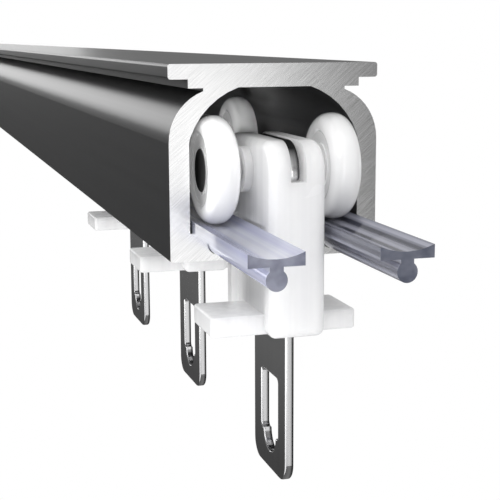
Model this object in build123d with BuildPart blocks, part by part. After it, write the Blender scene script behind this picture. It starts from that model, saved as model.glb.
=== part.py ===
import os

from build123d import *

os.makedirs("parts", exist_ok=True)

# Rail: one aluminium extrusion, a ceiling flange above a channel that is open below
rail_length = 620.0
flange_width = 30.0
flange_thickness = 2.05
flange_corner = 0.4
step_width = 24.5
step_height = 1.2
neck_width = 20.3
neck_height = 0.4
channel_width = 24.4
wall_thickness = 2.8
shoulder_height = 10.6
roof_thickness = 3.2
roof_width = 10.4
vault_height = 7.15
vault_rise = 1.2
vault_corner = 3.0
lip_thickness = 3.9
mouth_width = 11.8
rail_corner = 0.3

# Clear running strips: a dished tread on a stem whose bulb is held in the lip
strip_overhang = 26.3
strip_width = 7.1
strip_thickness = 1.67
strip_dish = 0.75
strip_from_centre = 8.3
stem_width = 1.7
stem_height = 1.6
bulb_radius = 1.35
groove_clearance = 0.1

# Carriers along the rail, measured from its front end
carrier_count = 3
first_station = 0.8
carrier_pitch = 47.85

# Wheels, one pair on each carrier
wheel_radius = 7.45
wheel_from_centre = 8.6
tread_half_width = 2.2
tread_corner = 2.0
tread_depth = 2.6
dish_half_width = 1.8
hub_radius = 3.35
hub_half_width = 1.95
wheel_gap = 0.2
wheel_headroom = 3.73

# Axle and the black caps that keep the wheels on it
axle_radius = 1.25
running_clearance = 0.05
press_clearance = 0.02
cap_radius = 3.0
cap_thickness = 0.6
cap_bevel = 0.12
cap_socket_depth = 0.4
cap_clearance = 0.1

# Carrier body: a slotted head between the wheels, a waisted column through the mouth, a crossbar
body_width = 7.76
body_length = 21.9
body_edge = 1.1
head_above_axle = 4.45
head_below_axle = 6.85
head_corner = 4.0
head_slot_width = 2.16
waist_length = 16.2
waist_depth = 1.0
foot_corner = 1.3
bar_width = 20.9
bar_length = 10.1
bar_thickness = 2.8
bar_gap = 7.2
bar_below_column = 0.65
bar_corner = 0.6
bar_edge = 0.35
boss_radius = 3.15
boss_height = 1.1
spigot_radius = 1.8
spigot_gap = 0.3

# Hanger: a flat steel plate, wider at the top where it sits in the head's slot
plate_thickness = 1.3
plate_width = 14.5
plate_clearance = 0.05
plate_edge = 0.28
plate_drop = 21.25
plate_foot_corner = 2.8
plate_head_length = 18.9
plate_head_height = 5.18
plate_head_below_top = 0.12
plate_head_corner = 4.2
plate_seat_corner = 0.7
axle_hole_clearance = 0.1
hook_slot_width = 7.7
hook_slot_height = 9.0
hook_slot_corner = 0.7
hook_slot_below_bar = 6.95
hook_notch_radius = 2.7
hook_notch_depth = 2.65

# Levels, all below the rail's top face
wheel_room = wheel_headroom + 2 * wheel_radius + wheel_gap
lip_and_strip = lip_thickness + strip_thickness - strip_dish
rail_height = roof_thickness + wheel_room + lip_and_strip
step_level = -flange_thickness - step_height
shoulder_level = step_level - neck_height
outer_width = channel_width + 2 * wall_thickness
lip_level = lip_thickness - rail_height
strip_level = lip_level + strip_thickness
bulb_level = lip_level - stem_height
axle_level = strip_level - strip_dish + wheel_gap + wheel_radius
head_level = axle_level + head_above_axle
head_foot = axle_level - head_below_axle
bar_level = -rail_height - bar_gap
bar_foot = bar_level - bar_thickness
plate_foot = bar_foot - plate_drop
plate_head_level = head_level - plate_head_below_top
plate_seat = plate_head_level - plate_head_height
plate_slot_width = plate_thickness + 2 * plate_clearance
plate_slot_length = plate_width + 2 * plate_clearance
column_foot = bar_foot + bar_below_column
hook_slot_foot = bar_foot - hook_slot_below_bar - hook_slot_height

# Places across the rail, measured from the wheel's middle plane or the rail's centre
hub_inner = wheel_from_centre - hub_half_width
cap_outer = hub_half_width
cap_inner = cap_outer - cap_thickness
cap_socket_floor = cap_inner + cap_socket_depth
recess_floor = cap_inner - cap_clearance
axle_reach = wheel_from_centre + cap_socket_floor
stations = [first_station - rail_length / 2 + carrier_pitch * place for place in range(carrier_count)]

# How near a corner lies to the lines it is picked by
pick = 0.01


def write(part, name):
    """Label a piece and write it where it stands"""
    part.label = name
    export_step(part, f"parts/{name}.step")


def write_on_carrier(part, name, station):
    """Write a piece made at the rail's middle at its carrier's own station"""
    with BuildPart() as piece:
        with Locations((0, station, 0)):
            add(part)
    write(piece.part, name)


# Rail section: its right half from the top centre round to the ceiling, then mirrored
with BuildPart() as rail:
    with BuildSketch(Plane.XZ) as rail_section:
        with BuildLine():
            Polyline(
                (0, 0),
                (flange_width / 2, 0),
                (flange_width / 2, -flange_thickness),
                (step_width / 2, -flange_thickness),
                (step_width / 2, step_level),
                (neck_width / 2, step_level),
                (neck_width / 2, shoulder_level),
            )
            TangentArc(
                (outer_width / 2, -shoulder_height),
                (neck_width / 2, shoulder_level),
                tangent=(0, 1),
            )
            Polyline(
                (outer_width / 2, -shoulder_height),
                (outer_width / 2, -rail_height),
                (mouth_width / 2, -rail_height),
                (mouth_width / 2, lip_level),
                (channel_width / 2, lip_level),
                (channel_width / 2, -roof_thickness - vault_height),
            )
            SagittaArc(
                (channel_width / 2, -roof_thickness - vault_height),
                (roof_width / 2, -roof_thickness),
                -vault_rise,
            )
            Line((roof_width / 2, -roof_thickness), (0, -roof_thickness))
            mirror(about=Plane.YZ)
        make_face()
        with Locations((-strip_from_centre, bulb_level), (strip_from_centre, bulb_level)):
            Circle(bulb_radius + groove_clearance, mode=Mode.SUBTRACT)
            Rectangle(
                stem_width + 2 * groove_clearance,
                lip_level - bulb_level,
                align=(Align.CENTER, Align.MIN),
                mode=Mode.SUBTRACT,
            )
        corners = rail_section.vertices()
        flange_corners = corners.filter_by(
            lambda v: abs(abs(v.X) - flange_width / 2) < pick and v.Y > -flange_thickness - pick
        )
        fillet(flange_corners, radius=flange_corner)
        foot_corners = rail_section.vertices().group_by(Axis.Y)[0]
        fillet(foot_corners, radius=rail_corner)
        vault_corners = rail_section.vertices().filter_by(
            lambda v: abs(abs(v.X) - channel_width / 2) < pick
            and abs(v.Y + roof_thickness + vault_height) < pick
        )
        fillet(vault_corners, radius=vault_corner)
    extrude(amount=rail_length / 2, both=True)
write(rail.part, "rail")


# Running strips: the bulb hangs in the lip's groove and the tread lies on the lip
for side, name in ((-1, "strip_left"), (1, "strip_right")):
    centre = side * strip_from_centre
    with BuildPart() as strip:
        with BuildSketch(Plane.XZ.offset(rail_length / 2 + strip_overhang)):
            with BuildLine():
                ThreePointArc(
                    (centre - strip_width / 2, strip_level),
                    (centre, strip_level - strip_dish),
                    (centre + strip_width / 2, strip_level),
                )
                Polyline(
                    (centre + strip_width / 2, strip_level),
                    (centre + strip_width / 2, lip_level),
                    (centre - strip_width / 2, lip_level),
                    (centre - strip_width / 2, strip_level),
                )
            make_face()
            with Locations((centre, bulb_level)):
                Rectangle(stem_width, lip_level - bulb_level, align=(Align.CENTER, Align.MIN))
                Circle(bulb_radius)
        extrude(amount=-rail_length - strip_overhang)
    write(strip.part, name)


# Carrier body, moulded in one piece: its head and column share one outline, waisted below the head
with BuildPart() as column:
    with BuildSketch(Plane.YZ) as body_outline:
        with Locations((0, column_foot)):
            Rectangle(body_length, head_level - column_foot, align=(Align.CENTER, Align.MIN))
        fillet(body_outline.vertices().group_by(Axis.Y)[-1], radius=head_corner)
        fillet(body_outline.vertices().group_by(Axis.Y)[0], radius=foot_corner)
    extrude(amount=body_width / 2, both=True)
    fillet(column.faces().filter_by(Axis.X).edges(), radius=body_edge)
    for side in (-1, 1):
        with BuildSketch(Plane.YZ.offset(side * (body_width / 2 - waist_depth))):
            with Locations((0, column_foot)):
                Rectangle(waist_length, head_foot - column_foot, align=(Align.CENTER, Align.MIN))
        extrude(amount=side * waist_depth, mode=Mode.SUBTRACT)

with BuildPart() as crossbar:
    with BuildSketch(Plane.XY.offset(bar_foot)):
        RectangleRounded(bar_width, bar_length, bar_corner)
    extrude(amount=bar_thickness)
    fillet(crossbar.faces().filter_by(Axis.Z).edges(), radius=bar_edge)

with BuildPart() as body:
    add(column.part)
    add(crossbar.part)
    for radius, reach in (
        (boss_radius, body_width / 2 + boss_height),
        (spigot_radius, hub_inner - spigot_gap),
    ):
        with BuildSketch(Plane.YZ):
            with Locations((0, axle_level)):
                Circle(radius)
        extrude(amount=reach, both=True)
    for slot_width, slot_length, slot_foot, slot_top in (
        (head_slot_width, body_length, plate_seat, head_level),
        (plate_slot_width, plate_slot_length, bar_foot, plate_seat),
    ):
        with BuildSketch(Plane.YZ):
            with Locations((0, slot_foot)):
                Rectangle(slot_length, slot_top - slot_foot, align=(Align.CENTER, Align.MIN))
        extrude(amount=slot_width / 2, both=True, mode=Mode.SUBTRACT)
    with BuildSketch(Plane.YZ):
        with Locations((0, axle_level)):
            Circle(axle_radius + press_clearance)
    extrude(amount=hub_inner, both=True, mode=Mode.SUBTRACT)


# Hanger plate: shoulders on the slot's floor, a hole round the axle, a hook slot with a round foot
with BuildPart() as hanger:
    with BuildSketch(Plane.YZ) as plate_outline:
        with Locations((0, plate_seat)):
            Rectangle(plate_head_length, plate_head_height, align=(Align.CENTER, Align.MIN))
        with Locations((0, plate_foot)):
            Rectangle(plate_width, plate_seat - plate_foot, align=(Align.CENTER, Align.MIN))
        fillet(plate_outline.vertices().group_by(Axis.Y)[0], radius=plate_foot_corner)
        fillet(plate_outline.vertices().group_by(Axis.Y)[-1], radius=plate_head_corner)
        seat_corners = plate_outline.vertices().filter_by(
            lambda v: abs(abs(v.X) - plate_head_length / 2) < pick and abs(v.Y - plate_seat) < pick
        )
        fillet(seat_corners, radius=plate_seat_corner)
        with Locations((0, axle_level)):
            Circle(axle_radius + axle_hole_clearance, mode=Mode.SUBTRACT)
        with Locations((0, hook_slot_foot + hook_slot_height / 2)):
            RectangleRounded(hook_slot_width, hook_slot_height, hook_slot_corner, mode=Mode.SUBTRACT)
        with Locations((0, hook_slot_foot - hook_notch_depth + hook_notch_radius)):
            Circle(hook_notch_radius, mode=Mode.SUBTRACT)
    extrude(amount=plate_thickness / 2, both=True)
    fillet(hanger.faces().filter_by(Axis.X).edges(), radius=plate_edge)


# Axle, through the body, the hanger plate and both wheels
with BuildPart() as axle:
    with BuildSketch(Plane.YZ):
        with Locations((0, axle_level)):
            Circle(axle_radius)
    extrude(amount=axle_reach, both=True)
    chamfer(axle.faces().filter_by(Axis.X).edges(), length=cap_bevel)


def wheel_plane(side):
    """Plane through a wheel's axis, with its x pointing away from the carrier"""
    return Plane(
        origin=(side * wheel_from_centre, 0, axle_level),
        x_dir=(side, 0, 0),
        z_dir=(0, -side, 0),
    )


def make_wheel(side):
    """Wheel with a crowned tread, a dish each side and a collar that the cap sits in"""
    tread_flat = tread_half_width - tread_corner
    tread_shoulder = wheel_radius - tread_corner
    dish_edge = wheel_radius - tread_depth
    with BuildPart() as wheel:
        with BuildSketch(wheel_plane(side)):
            with BuildLine():
                Line((-tread_flat, wheel_radius), (tread_flat, wheel_radius))
                for hand in (-1, 1):
                    TangentArc(
                        (hand * tread_flat, wheel_radius),
                        (hand * tread_half_width, tread_shoulder),
                        tangent=(hand, 0),
                    )
                    TangentArc(
                        (hand * tread_half_width, tread_shoulder),
                        (hand * dish_half_width, dish_edge),
                        tangent=(0, -1),
                    )
                    Polyline(
                        (hand * dish_half_width, dish_edge),
                        (hand * dish_half_width, hub_radius),
                        (hand * hub_half_width, hub_radius),
                    )
                Polyline(
                    (hub_half_width, hub_radius),
                    (hub_half_width, cap_radius + cap_clearance),
                    (recess_floor, cap_radius + cap_clearance),
                    (recess_floor, axle_radius + running_clearance),
                    (-hub_half_width, axle_radius + running_clearance),
                    (-hub_half_width, hub_radius),
                )
            make_face()
        revolve(axis=Axis((0, 0, axle_level), (1, 0, 0)))
    return wheel.part


def make_cap(side):
    """Round cap with a bevelled rim and a blind socket pressed on the axle's end"""
    with BuildPart() as cap:
        with BuildSketch(wheel_plane(side)):
            with BuildLine():
                Polyline(
                    (cap_socket_floor, 0),
                    (cap_outer, 0),
                    (cap_outer, cap_radius - cap_bevel),
                    (cap_outer - cap_bevel, cap_radius),
                    (cap_inner, cap_radius),
                    (cap_inner, axle_radius + press_clearance),
                    (cap_socket_floor, axle_radius + press_clearance),
                    close=True,
                )
            make_face()
        revolve(axis=Axis((0, 0, axle_level), (1, 0, 0)))
    return cap.part


# One set of carrier pieces at each station, the front one half out of the rail's end
wheel_pair = {"left": make_wheel(-1), "right": make_wheel(1)}
cap_pair = {"left": make_cap(-1), "right": make_cap(1)}
for number, station in enumerate(stations, start=1):
    write_on_carrier(body.part, f"carrier_body_{number}", station)
    write_on_carrier(hanger.part, f"hanger_{number}", station)
    write_on_carrier(axle.part, f"axle_{number}", station)
    for hand in ("left", "right"):
        write_on_carrier(wheel_pair[hand], f"wheel_{hand}_{number}", station)
        write_on_carrier(cap_pair[hand], f"hub_cap_{hand}_{number}", station)
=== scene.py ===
import math

import bmesh
import bpy
from mathutils import Matrix, Vector

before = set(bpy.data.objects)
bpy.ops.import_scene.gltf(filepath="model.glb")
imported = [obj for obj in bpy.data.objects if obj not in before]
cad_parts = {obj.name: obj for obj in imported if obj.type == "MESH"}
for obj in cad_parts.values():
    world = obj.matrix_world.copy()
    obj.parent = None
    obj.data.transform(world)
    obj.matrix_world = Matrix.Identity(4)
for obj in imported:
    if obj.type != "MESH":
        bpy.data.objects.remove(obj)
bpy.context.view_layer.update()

# All places are in metres: X goes across the rail, Y along it towards its rear end, Z up.

# The rail's ends, the strips' front ends, and how near to them a face counts as cut
RAIL_END = 0.310
STRIP_FRONT = 0.3363
END_DEPTH = 0.00005

# The left strip is clear at its front end and has painted shade towards the rail, most of all on its
# sides
STRIP_LIGHT = -0.333
STRIP_DARK = -0.312
STRIP_SIDE = 0.0116
SIDE_SHADE = 0.90
TREAD_SHADE = 0.15

# The wheels' middle planes, and the distances from them over which their thin side webs begin; the webs
# get a faint painted glow
WHEEL_FROM_CENTRE = 0.0086
WEB_START = 0.0012
WEB_FULL = 0.0018
PAINTED_WEB_GLOW = 0.15

# The hanger plate has painted light making it lighter towards its top, and painted shade making it dark
# inside the head's slot
PLATE_LOW = -0.056
PLATE_HIGH = -0.040
SLOT_DARK = -0.0110
SLOT_LIGHT = -0.0140

# From left to right the plate's edge is painted from bright over grey to dark, up to the right face:
# painted shade across the rounded edge
EDGE_BRIGHT = -0.0005
EDGE_GREY = -0.0001
EDGE_GREY_END = 0.0001
EDGE_DARK = 0.0004
RIGHT_FACE = 0.00064

# Light spreads a few millimetres inside the white plastics
TRANSLUCENT = {
    "Subsurface_Weight": 1.0,
    "Subsurface_Scale": 0.009,
    "Subsurface_Radius": (1, 1, 1),
}

# Studio: the world's strength as light and as seen in reflections, and the floor's shades
FLOOR_LEVEL = -0.30
STAGE_SIZE = 6.0
AMBIENT = 0.70
AMBIENT_REFLECTED = 0.38
WHITE = (1.0, 1.0, 1.0, 1.0)
GREY = (0.25, 0.25, 0.25, 1.0)

# The lamps point at the rail's front end. The cards stand or lie just above the floor.
FRONT_END = (0, -RAIL_END, -0.02)
SECOND_WHEEL = (0.0074, -0.262, -0.0093)
CARD_FOOT = -0.295

# Camera fitted to the rail's cut end
CAMERA_PLACE = (-0.050384, -0.465637, 0.003559)
CAMERA_YAW = math.radians(16.704)
CAMERA_PITCH = math.radians(-10.194)
CAMERA_ROLL = math.radians(-0.234)
CAMERA_LENS = 85.49


class Value:
    """A shader socket; Python's operators on it add Math nodes"""

    def __init__(self, nodes, socket):
        self.nodes = nodes
        self.socket = socket

    def math(self, operation, *values):
        return self.nodes.node("ShaderNodeMath", {"operation": operation}, dict(enumerate(values)))

    def __add__(self, other):
        return self.math("ADD", self, other)

    def __sub__(self, other):
        return self.math("SUBTRACT", self, other)

    def __rsub__(self, other):
        return self.math("SUBTRACT", other, self)

    def __mul__(self, other):
        return self.math("MULTIPLY", self, other)

    def __gt__(self, other):
        return self.math("GREATER_THAN", self, other)

    def __abs__(self):
        return self.math("ABSOLUTE", self)

    __radd__ = __add__
    __rmul__ = __mul__


class Nodes:
    """A node tree with the one method that adds nodes to it"""

    def __init__(self, tree):
        self.tree = tree

    def node(self, kind, settings=None, inputs=None, output=0):
        """Add a node, set it up, feed its sockets and give back one of its outputs"""
        node = self.tree.nodes.new(kind)
        for label, value in (settings or {}).items():
            setattr(node, label, value)
        for label, value in (inputs or {}).items():
            if isinstance(value, Value):
                self.tree.links.new(value.socket, node.inputs[label])
            else:
                node.inputs[label].default_value = value
        return Value(self, node.outputs[output])

    def shown_to(self, surface, shades):
        """A surface that some kinds of rays see in another shade"""
        for ray, shade in shades.items():
            seen = self.node("ShaderNodeLightPath", output=ray)
            surface = self.node("ShaderNodeMixShader", inputs={0: seen, 1: surface, 2: shade})
        return surface

    def end_in(self, output, surface):
        """Link a surface to the tree's output node"""
        self.tree.links.new(surface.socket, self.tree.nodes[output].inputs["Surface"])


class Finish(Nodes):
    """A material with one principled shader"""

    def __init__(self, name, **constants):
        self.material = bpy.data.materials.new(name)
        self.material.use_nodes = True
        super().__init__(self.material.node_tree)
        self.shader = self.tree.nodes["Principled BSDF"]
        for label, value in constants.items():
            self.shader.inputs[label.replace("_", " ")].default_value = value
        self.place = self.node("ShaderNodeTexCoord", output="Object")

    def feed(self, label, value):
        """Link a value to one of the shader's sockets"""
        self.tree.links.new(value.socket, self.shader.inputs[label])

    def axis(self, letter):
        """One coordinate of the surface point, in metres"""
        return self.node("ShaderNodeSeparateXYZ", inputs={0: self.place}, output=letter)

    def mapped(self, scale, turn=(0, 0, 0)):
        """The surface point, turned and then scaled"""
        turned = self.node("ShaderNodeMapping", inputs={"Vector": self.place, "Rotation": turn})
        return self.node("ShaderNodeMapping", inputs={"Vector": turned, "Scale": scale})

    def noise(self, scale, detail=2.0, turn=(0, 0, 0)):
        """Noise with its own scale along each axis, in waves per metre"""
        return self.node(
            "ShaderNodeTexNoise",
            inputs={"Vector": self.mapped(scale, turn), "Scale": 1.0, "Detail": detail},
            output="Fac",
        )

    def fit(self, value, low, high, start=0.0, end=1.0):
        """Take a value from start to end over to low to high, clamped"""
        return self.node(
            "ShaderNodeMapRange",
            inputs={0: value, 1: start, 2: end, 3: low, 4: high},
        )

    def ramp(self, value, start, end):
        """0 up to the start, 1 from the end on, even between them"""
        return self.fit(value, 0, 1, start, end)

    def blend(self, factor, first, second):
        """Mix two colours"""
        return self.node(
            "ShaderNodeMix",
            {"data_type": "RGBA"},
            {0: factor, 6: first, 7: second},
            output=2,
        )

    def bump(self, height, strength, depth):
        """Raise and sink the surface by a height"""
        normal = self.node(
            "ShaderNodeBump",
            inputs={"Strength": strength, "Distance": depth, "Height": height},
        )
        self.feed("Normal", normal)


def grey(level):
    """A neutral colour"""
    return (level, level, level, 1)


def rail_finish():
    """Satin black anodising on the drawn surfaces, bare scratched metal on the sawn ends"""
    finish = Finish("black_anodised_rail", Specular_IOR_Level=0.5)
    sawn = abs(finish.axis("Y")) > RAIL_END - END_DEPTH
    drawn_lines = finish.noise((900, 1.5, 900))
    scratches = finish.noise((260, 10, 6000), detail=4.0, turn=(0, math.radians(40), 0))
    black = finish.blend(drawn_lines, (0.011, 0.011, 0.012, 1), (0.018, 0.018, 0.019, 1))
    bare = finish.blend(finish.ramp(scratches, 0.3, 0.7), grey(0.72), grey(0.88))
    finish.feed("Base Color", finish.blend(sawn, black, bare))
    finish.feed("Metallic", sawn)
    drawn_roughness = finish.fit(drawn_lines, 0.30, 0.36)
    sawn_roughness = finish.fit(scratches, 0.17, 0.25)
    finish.feed("Roughness", drawn_roughness * (1 - sawn) + sawn_roughness * sawn)
    finish.bump(scratches * sawn, strength=0.10, depth=0.00004)
    return finish.material


def strip_finish():
    """Clear plastic with lines along its length; painted shade makes it greyer on its cut ends, on the
    right strip and on the left strip towards the rail
    """
    finish = Finish("clear_strip", IOR=1.46, Transmission_Weight=0.35, Specular_IOR_Level=0.6)
    streaks = finish.noise((700, 4, 700), detail=3.0)
    on_right = finish.axis("X") > 0
    clear = finish.blend(finish.ramp(streaks, 0.38, 0.62), (0.66, 0.68, 0.90, 1), (0.88, 0.90, 1.0, 1))
    # The shaded colour is painted shade: on the whole right strip, and on the left strip towards the rail
    shaded = finish.blend(finish.ramp(streaks, 0.42, 0.60), (0.09, 0.095, 0.13, 1), (0.62, 0.63, 0.74, 1))
    near_rail = finish.ramp(finish.axis("Y"), STRIP_LIGHT, STRIP_DARK)
    on_side = abs(finish.axis("X")) > STRIP_SIDE
    shade = near_rail * (on_side * (SIDE_SHADE - TREAD_SHADE) + TREAD_SHADE)
    long_side = finish.blend(on_right, finish.blend(shade, clear, shaded), shaded)
    clouds = finish.ramp(finish.noise((450, 450, 450)), 0.35, 0.65)
    # Cut ends: painted shade, darker on the right strip's end; the clouds vary it at random
    left_end = finish.blend(clouds, (0.15, 0.16, 0.22, 1), (0.30, 0.31, 0.38, 1))
    right_end = finish.blend(clouds, (0.11, 0.12, 0.16, 1), (0.21, 0.22, 0.27, 1))
    cut = abs(finish.axis("Y")) > STRIP_FRONT - END_DEPTH
    cut_end = finish.blend(on_right, left_end, right_end)
    finish.feed("Base Color", finish.blend(cut, long_side, cut_end))
    finish.feed("Roughness", finish.fit(streaks, 0.08, 0.18))
    finish.bump(streaks, strength=0.3, depth=0.00008)
    return finish.material


def body_finish():
    """White moulded plastic, slightly satin, with faint flow lines"""
    finish = Finish("white_carrier_plastic", IOR=1.5, Specular_IOR_Level=0.5, **TRANSLUCENT)
    cloud = finish.noise((90, 90, 90))
    grain = finish.noise((2600, 2600, 2600))
    flow_lines = finish.ramp(finish.noise((700, 700, 12)), 0.35, 0.65)
    white = finish.blend(flow_lines, (0.86, 0.86, 0.87, 1), (0.94, 0.94, 0.945, 1))
    finish.feed("Base Color", white)
    finish.feed("Roughness", finish.fit(cloud, 0.22, 0.30))
    finish.bump(grain, strength=0.04, depth=0.00002)
    return finish.material


def wheel_finish():
    """White glossy wheel plastic, with a faint painted glow on its thin side webs"""
    finish = Finish(
        "white_wheel_plastic",
        IOR=1.5,
        Coat_Weight=1.0,
        Coat_Roughness=0.05,
        Emission_Strength=1.0,
        **TRANSLUCENT,
    )
    cloud = finish.noise((160, 160, 160))
    finish.feed("Base Color", finish.blend(cloud, grey(0.87), grey(0.90)))
    finish.feed("Roughness", finish.fit(cloud, 0.18, 0.26))
    finish.bump(finish.noise((420, 420, 420), detail=1.0), strength=0.35, depth=0.0003)
    # Painted glow: the thin side webs give off a faint light that lightens their shade
    from_middle = abs(abs(finish.axis("X")) - WHEEL_FROM_CENTRE)
    web_painted_glow = finish.ramp(from_middle, WEB_START, WEB_FULL)
    finish.feed("Emission Color", finish.blend(web_painted_glow, grey(0), grey(PAINTED_WEB_GLOW)))
    return finish.material


def hanger_finish():
    """Zinc-plated strip, drawn lengthwise, with painted light towards its top and painted shade on its
    edges and inside the slot
    """
    finish = Finish("hanger_steel", Specular_IOR_Level=0.2)
    drawn = finish.noise((1800, 1800, 25), detail=3.0)
    # Painted light: lighter towards the plate's top, plus the drawn grain
    painted_light_and_grain = finish.fit(finish.axis("Z"), 0, 0.8, PLATE_LOW, PLATE_HIGH) + drawn * 0.2
    steel = finish.blend(painted_light_and_grain, (0.34, 0.34, 0.345, 1), (0.95, 0.95, 0.955, 1))
    across = finish.axis("X")
    # Painted shade across the edge: grey, then dark towards the right face
    off_right_face = 1 - (across > RIGHT_FACE)
    painted_edge_grey = finish.ramp(across, EDGE_BRIGHT, EDGE_GREY) * off_right_face
    painted_edge_dark = finish.ramp(across, EDGE_GREY_END, EDGE_DARK) * off_right_face
    steel = finish.blend(painted_edge_grey, steel, (0.58, 0.58, 0.585, 1))
    steel = finish.blend(painted_edge_dark, steel, (0.07, 0.07, 0.072, 1))
    # Painted shade inside the slot: near black, not metallic and rougher
    slot_painted_shade = finish.ramp(finish.axis("Z"), SLOT_LIGHT, SLOT_DARK)
    finish.feed("Base Color", finish.blend(slot_painted_shade, steel, grey(0.004)))
    finish.feed("Metallic", 1 - slot_painted_shade)
    finish.feed("Roughness", finish.fit(drawn, 0.12, 0.19) + slot_painted_shade * 0.5)
    return finish.material


def axle_finish():
    """Turned steel, with fine rings round the axle"""
    finish = Finish("axle_steel", Metallic=1.0)
    rings = finish.noise((5000, 60, 60))
    finish.feed("Base Color", finish.blend(rings, (0.48, 0.48, 0.49, 1), (0.62, 0.62, 0.63, 1)))
    finish.feed("Roughness", finish.fit(rings, 0.22, 0.32))
    return finish.material


def cap_finish():
    """Black matt plastic"""
    finish = Finish("black_cap_plastic", IOR=1.5, Specular_IOR_Level=0.4)
    grain = finish.noise((1500, 1500, 1500))
    finish.feed("Base Color", finish.blend(grain, grey(0.016), grey(0.028)))
    finish.feed("Roughness", finish.fit(grain, 0.42, 0.56))
    return finish.material


FINISHES = {
    "rail": rail_finish(),
    "strip": strip_finish(),
    "carrier_body": body_finish(),
    "hanger": hanger_finish(),
    "axle": axle_finish(),
    "wheel": wheel_finish(),
    "hub_cap": cap_finish(),
}
for name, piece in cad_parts.items():
    kind = next(start for start in FINISHES if name.startswith(start))
    piece.data.materials.clear()
    piece.data.materials.append(FINISHES[kind])


def stage_material():
    """Pale floor that the camera sees as white and reflections as grey"""
    finish = Finish("pale_stage", Base_Color=(0.82, 0.82, 0.83, 1), Roughness=0.9)
    shades = {
        "Is Glossy Ray": finish.node("ShaderNodeEmission", inputs={"Color": GREY}),
        "Is Camera Ray": finish.node("ShaderNodeEmission", inputs={"Color": WHITE}),
    }
    pale = Value(finish, finish.shader.outputs[0])
    finish.end_in("Material Output", finish.shown_to(pale, shades))
    return finish.material


bpy.ops.mesh.primitive_plane_add(size=STAGE_SIZE, location=(0, 0, FLOOR_LEVEL))
floor = bpy.context.object
floor.name = "floor"
floor.data.materials.append(stage_material())


def hang(lamp, place, target):
    """Put a lamp in the studio, pointing at a target and unseen by the camera"""
    holder = bpy.data.objects.new(lamp.name, lamp)
    holder.location = place
    aim = Vector(target) - Vector(place)
    holder.rotation_euler = aim.to_track_quat("-Z", "Y").to_euler()
    holder.visible_camera = False
    bpy.context.scene.collection.objects.link(holder)


def softbox(name, place, width, height, brightness):
    """A soft rectangular lamp whose surface has a given brightness"""
    lamp = bpy.data.lights.new(name, "AREA")
    lamp.shape = "RECTANGLE"
    lamp.size = width
    lamp.size_y = height
    lamp.energy = brightness * math.pi * width * height
    hang(lamp, place, FRONT_END)


softbox("key_lamp", (-0.26, -1.22, 0.047), width=0.07, height=0.90, brightness=4.0)
softbox("front_softbox", (-0.108, -0.80, -0.125), width=0.62, height=0.34, brightness=0.98)
softbox("left_softbox", (-0.85, -0.95, 0.75), width=0.9, height=0.9, brightness=1.7)
softbox("top_softbox", (-0.2, -0.75, 1.00), width=1.0, height=0.8, brightness=1.0)
softbox("back_softbox", (-0.40, 2.20, 0.34), width=1.6, height=0.60, brightness=1.9)

# Narrow lamp behind the camera that shines past the front carrier on the second one's wheel
beam = bpy.data.lights.new("channel_lamp", "SPOT")
beam.energy = 4.5
beam.spot_size = math.radians(1.8)
beam.spot_blend = 0.35
beam.shadow_soft_size = 0.004
hang(beam, (-0.1062, -0.6656, 0.0165), SECOND_WHEEL)


def upright(start, end, foot, top):
    """Corners of a card that stands over a line on the floor"""
    return [(*start, foot), (*end, foot), (*end, top), (*start, top)]


def lying(left, right, near, far):
    """Corners of a card that lies over the floor"""
    return [(x, y, CARD_FOOT) for x, y in ((left, near), (right, near), (right, far), (left, far))]


def reflector(name, shade, corners, lights=False):
    """A four-cornered card that shows in reflections, and lights the object where asked"""
    sheet = bmesh.new()
    sheet.faces.new([sheet.verts.new(corner) for corner in corners])
    mesh = bpy.data.meshes.new(name)
    sheet.to_mesh(mesh)
    sheet.free()
    finish = Finish(
        name,
        Base_Color=grey(0),
        Roughness=1.0,
        Specular_IOR_Level=0.0,
        Emission_Color=grey(shade),
        Emission_Strength=1.0,
    )
    mesh.materials.append(finish.material)
    card = bpy.data.objects.new(name, mesh)
    bpy.context.scene.collection.objects.link(card)
    card.visible_camera = False
    card.visible_diffuse = lights
    card.visible_transmission = False
    card.visible_shadow = False


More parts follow.
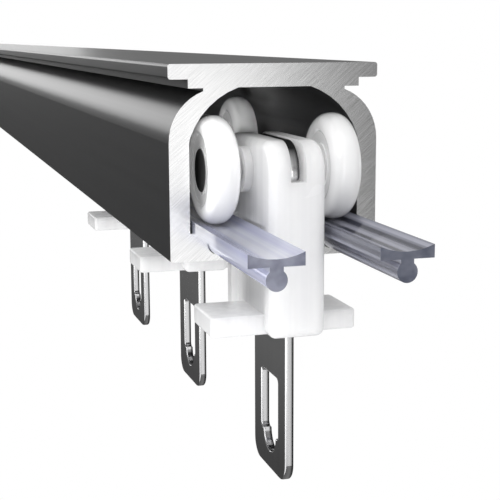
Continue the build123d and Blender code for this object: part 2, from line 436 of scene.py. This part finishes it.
reflector("dark_back_card", 0.11, upright((-0.8, 0.36), (0.3, 0.36), CARD_FOOT, -0.005))
reflector("dark_floor_card", 0.10, lying(left=-0.8, right=0.3, near=-0.10, far=0.36))
reflector("dark_right_card", 0.15, upright((0.22, -0.85), (1.1, -0.10), CARD_FOOT, 0.35))
reflector("glint_card", 4, upright((-1.0, -1.0), (-1.0, -0.6), -0.25, 0.7))
reflector("bright_floor_card", 2.2, lying(left=-1.4, right=-0.2, near=-0.75, far=-0.15), lights=True)

# World: an even light, seen dimmer in reflections and white by the camera
world = bpy.data.worlds.new("studio")
bpy.context.scene.world = world
world.use_nodes = True
studio = Nodes(world.node_tree)
ambient = world.node_tree.nodes["Background"]
ambient.inputs["Color"].default_value = WHITE
ambient.inputs["Strength"].default_value = AMBIENT
backgrounds = {
    "Is Glossy Ray": studio.node(
        "ShaderNodeBackground",
        inputs={"Color": WHITE, "Strength": AMBIENT_REFLECTED},
    ),
    "Is Camera Ray": studio.node("ShaderNodeBackground", inputs={"Color": WHITE}),
}
surroundings = studio.shown_to(Value(studio, ambient.outputs[0]), backgrounds)
studio.end_in("World Output", surroundings)

# Camera: its axes from yaw and pitch, then rolled
sin_yaw, cos_yaw = math.sin(CAMERA_YAW), math.cos(CAMERA_YAW)
sin_pitch, cos_pitch = math.sin(CAMERA_PITCH), math.cos(CAMERA_PITCH)
ahead = Vector((sin_yaw * cos_pitch, cos_yaw * cos_pitch, sin_pitch))
level = Vector((cos_yaw, -sin_yaw, 0))
above = level.cross(ahead)
right = level * math.cos(CAMERA_ROLL) + above * math.sin(CAMERA_ROLL)
up = above * math.cos(CAMERA_ROLL) - level * math.sin(CAMERA_ROLL)
lens = bpy.data.cameras.new("camera")
lens.lens = CAMERA_LENS
lens.sensor_width = 36.0
lens.clip_start = 0.01
camera = bpy.data.objects.new("camera", lens)
turn = Matrix((right, up, -ahead)).transposed().to_4x4()
camera.matrix_world = Matrix.Translation(CAMERA_PLACE) @ turn
bpy.context.scene.collection.objects.link(camera)
bpy.context.scene.camera = camera
bpy.context.scene.view_settings.view_transform = "Standard"
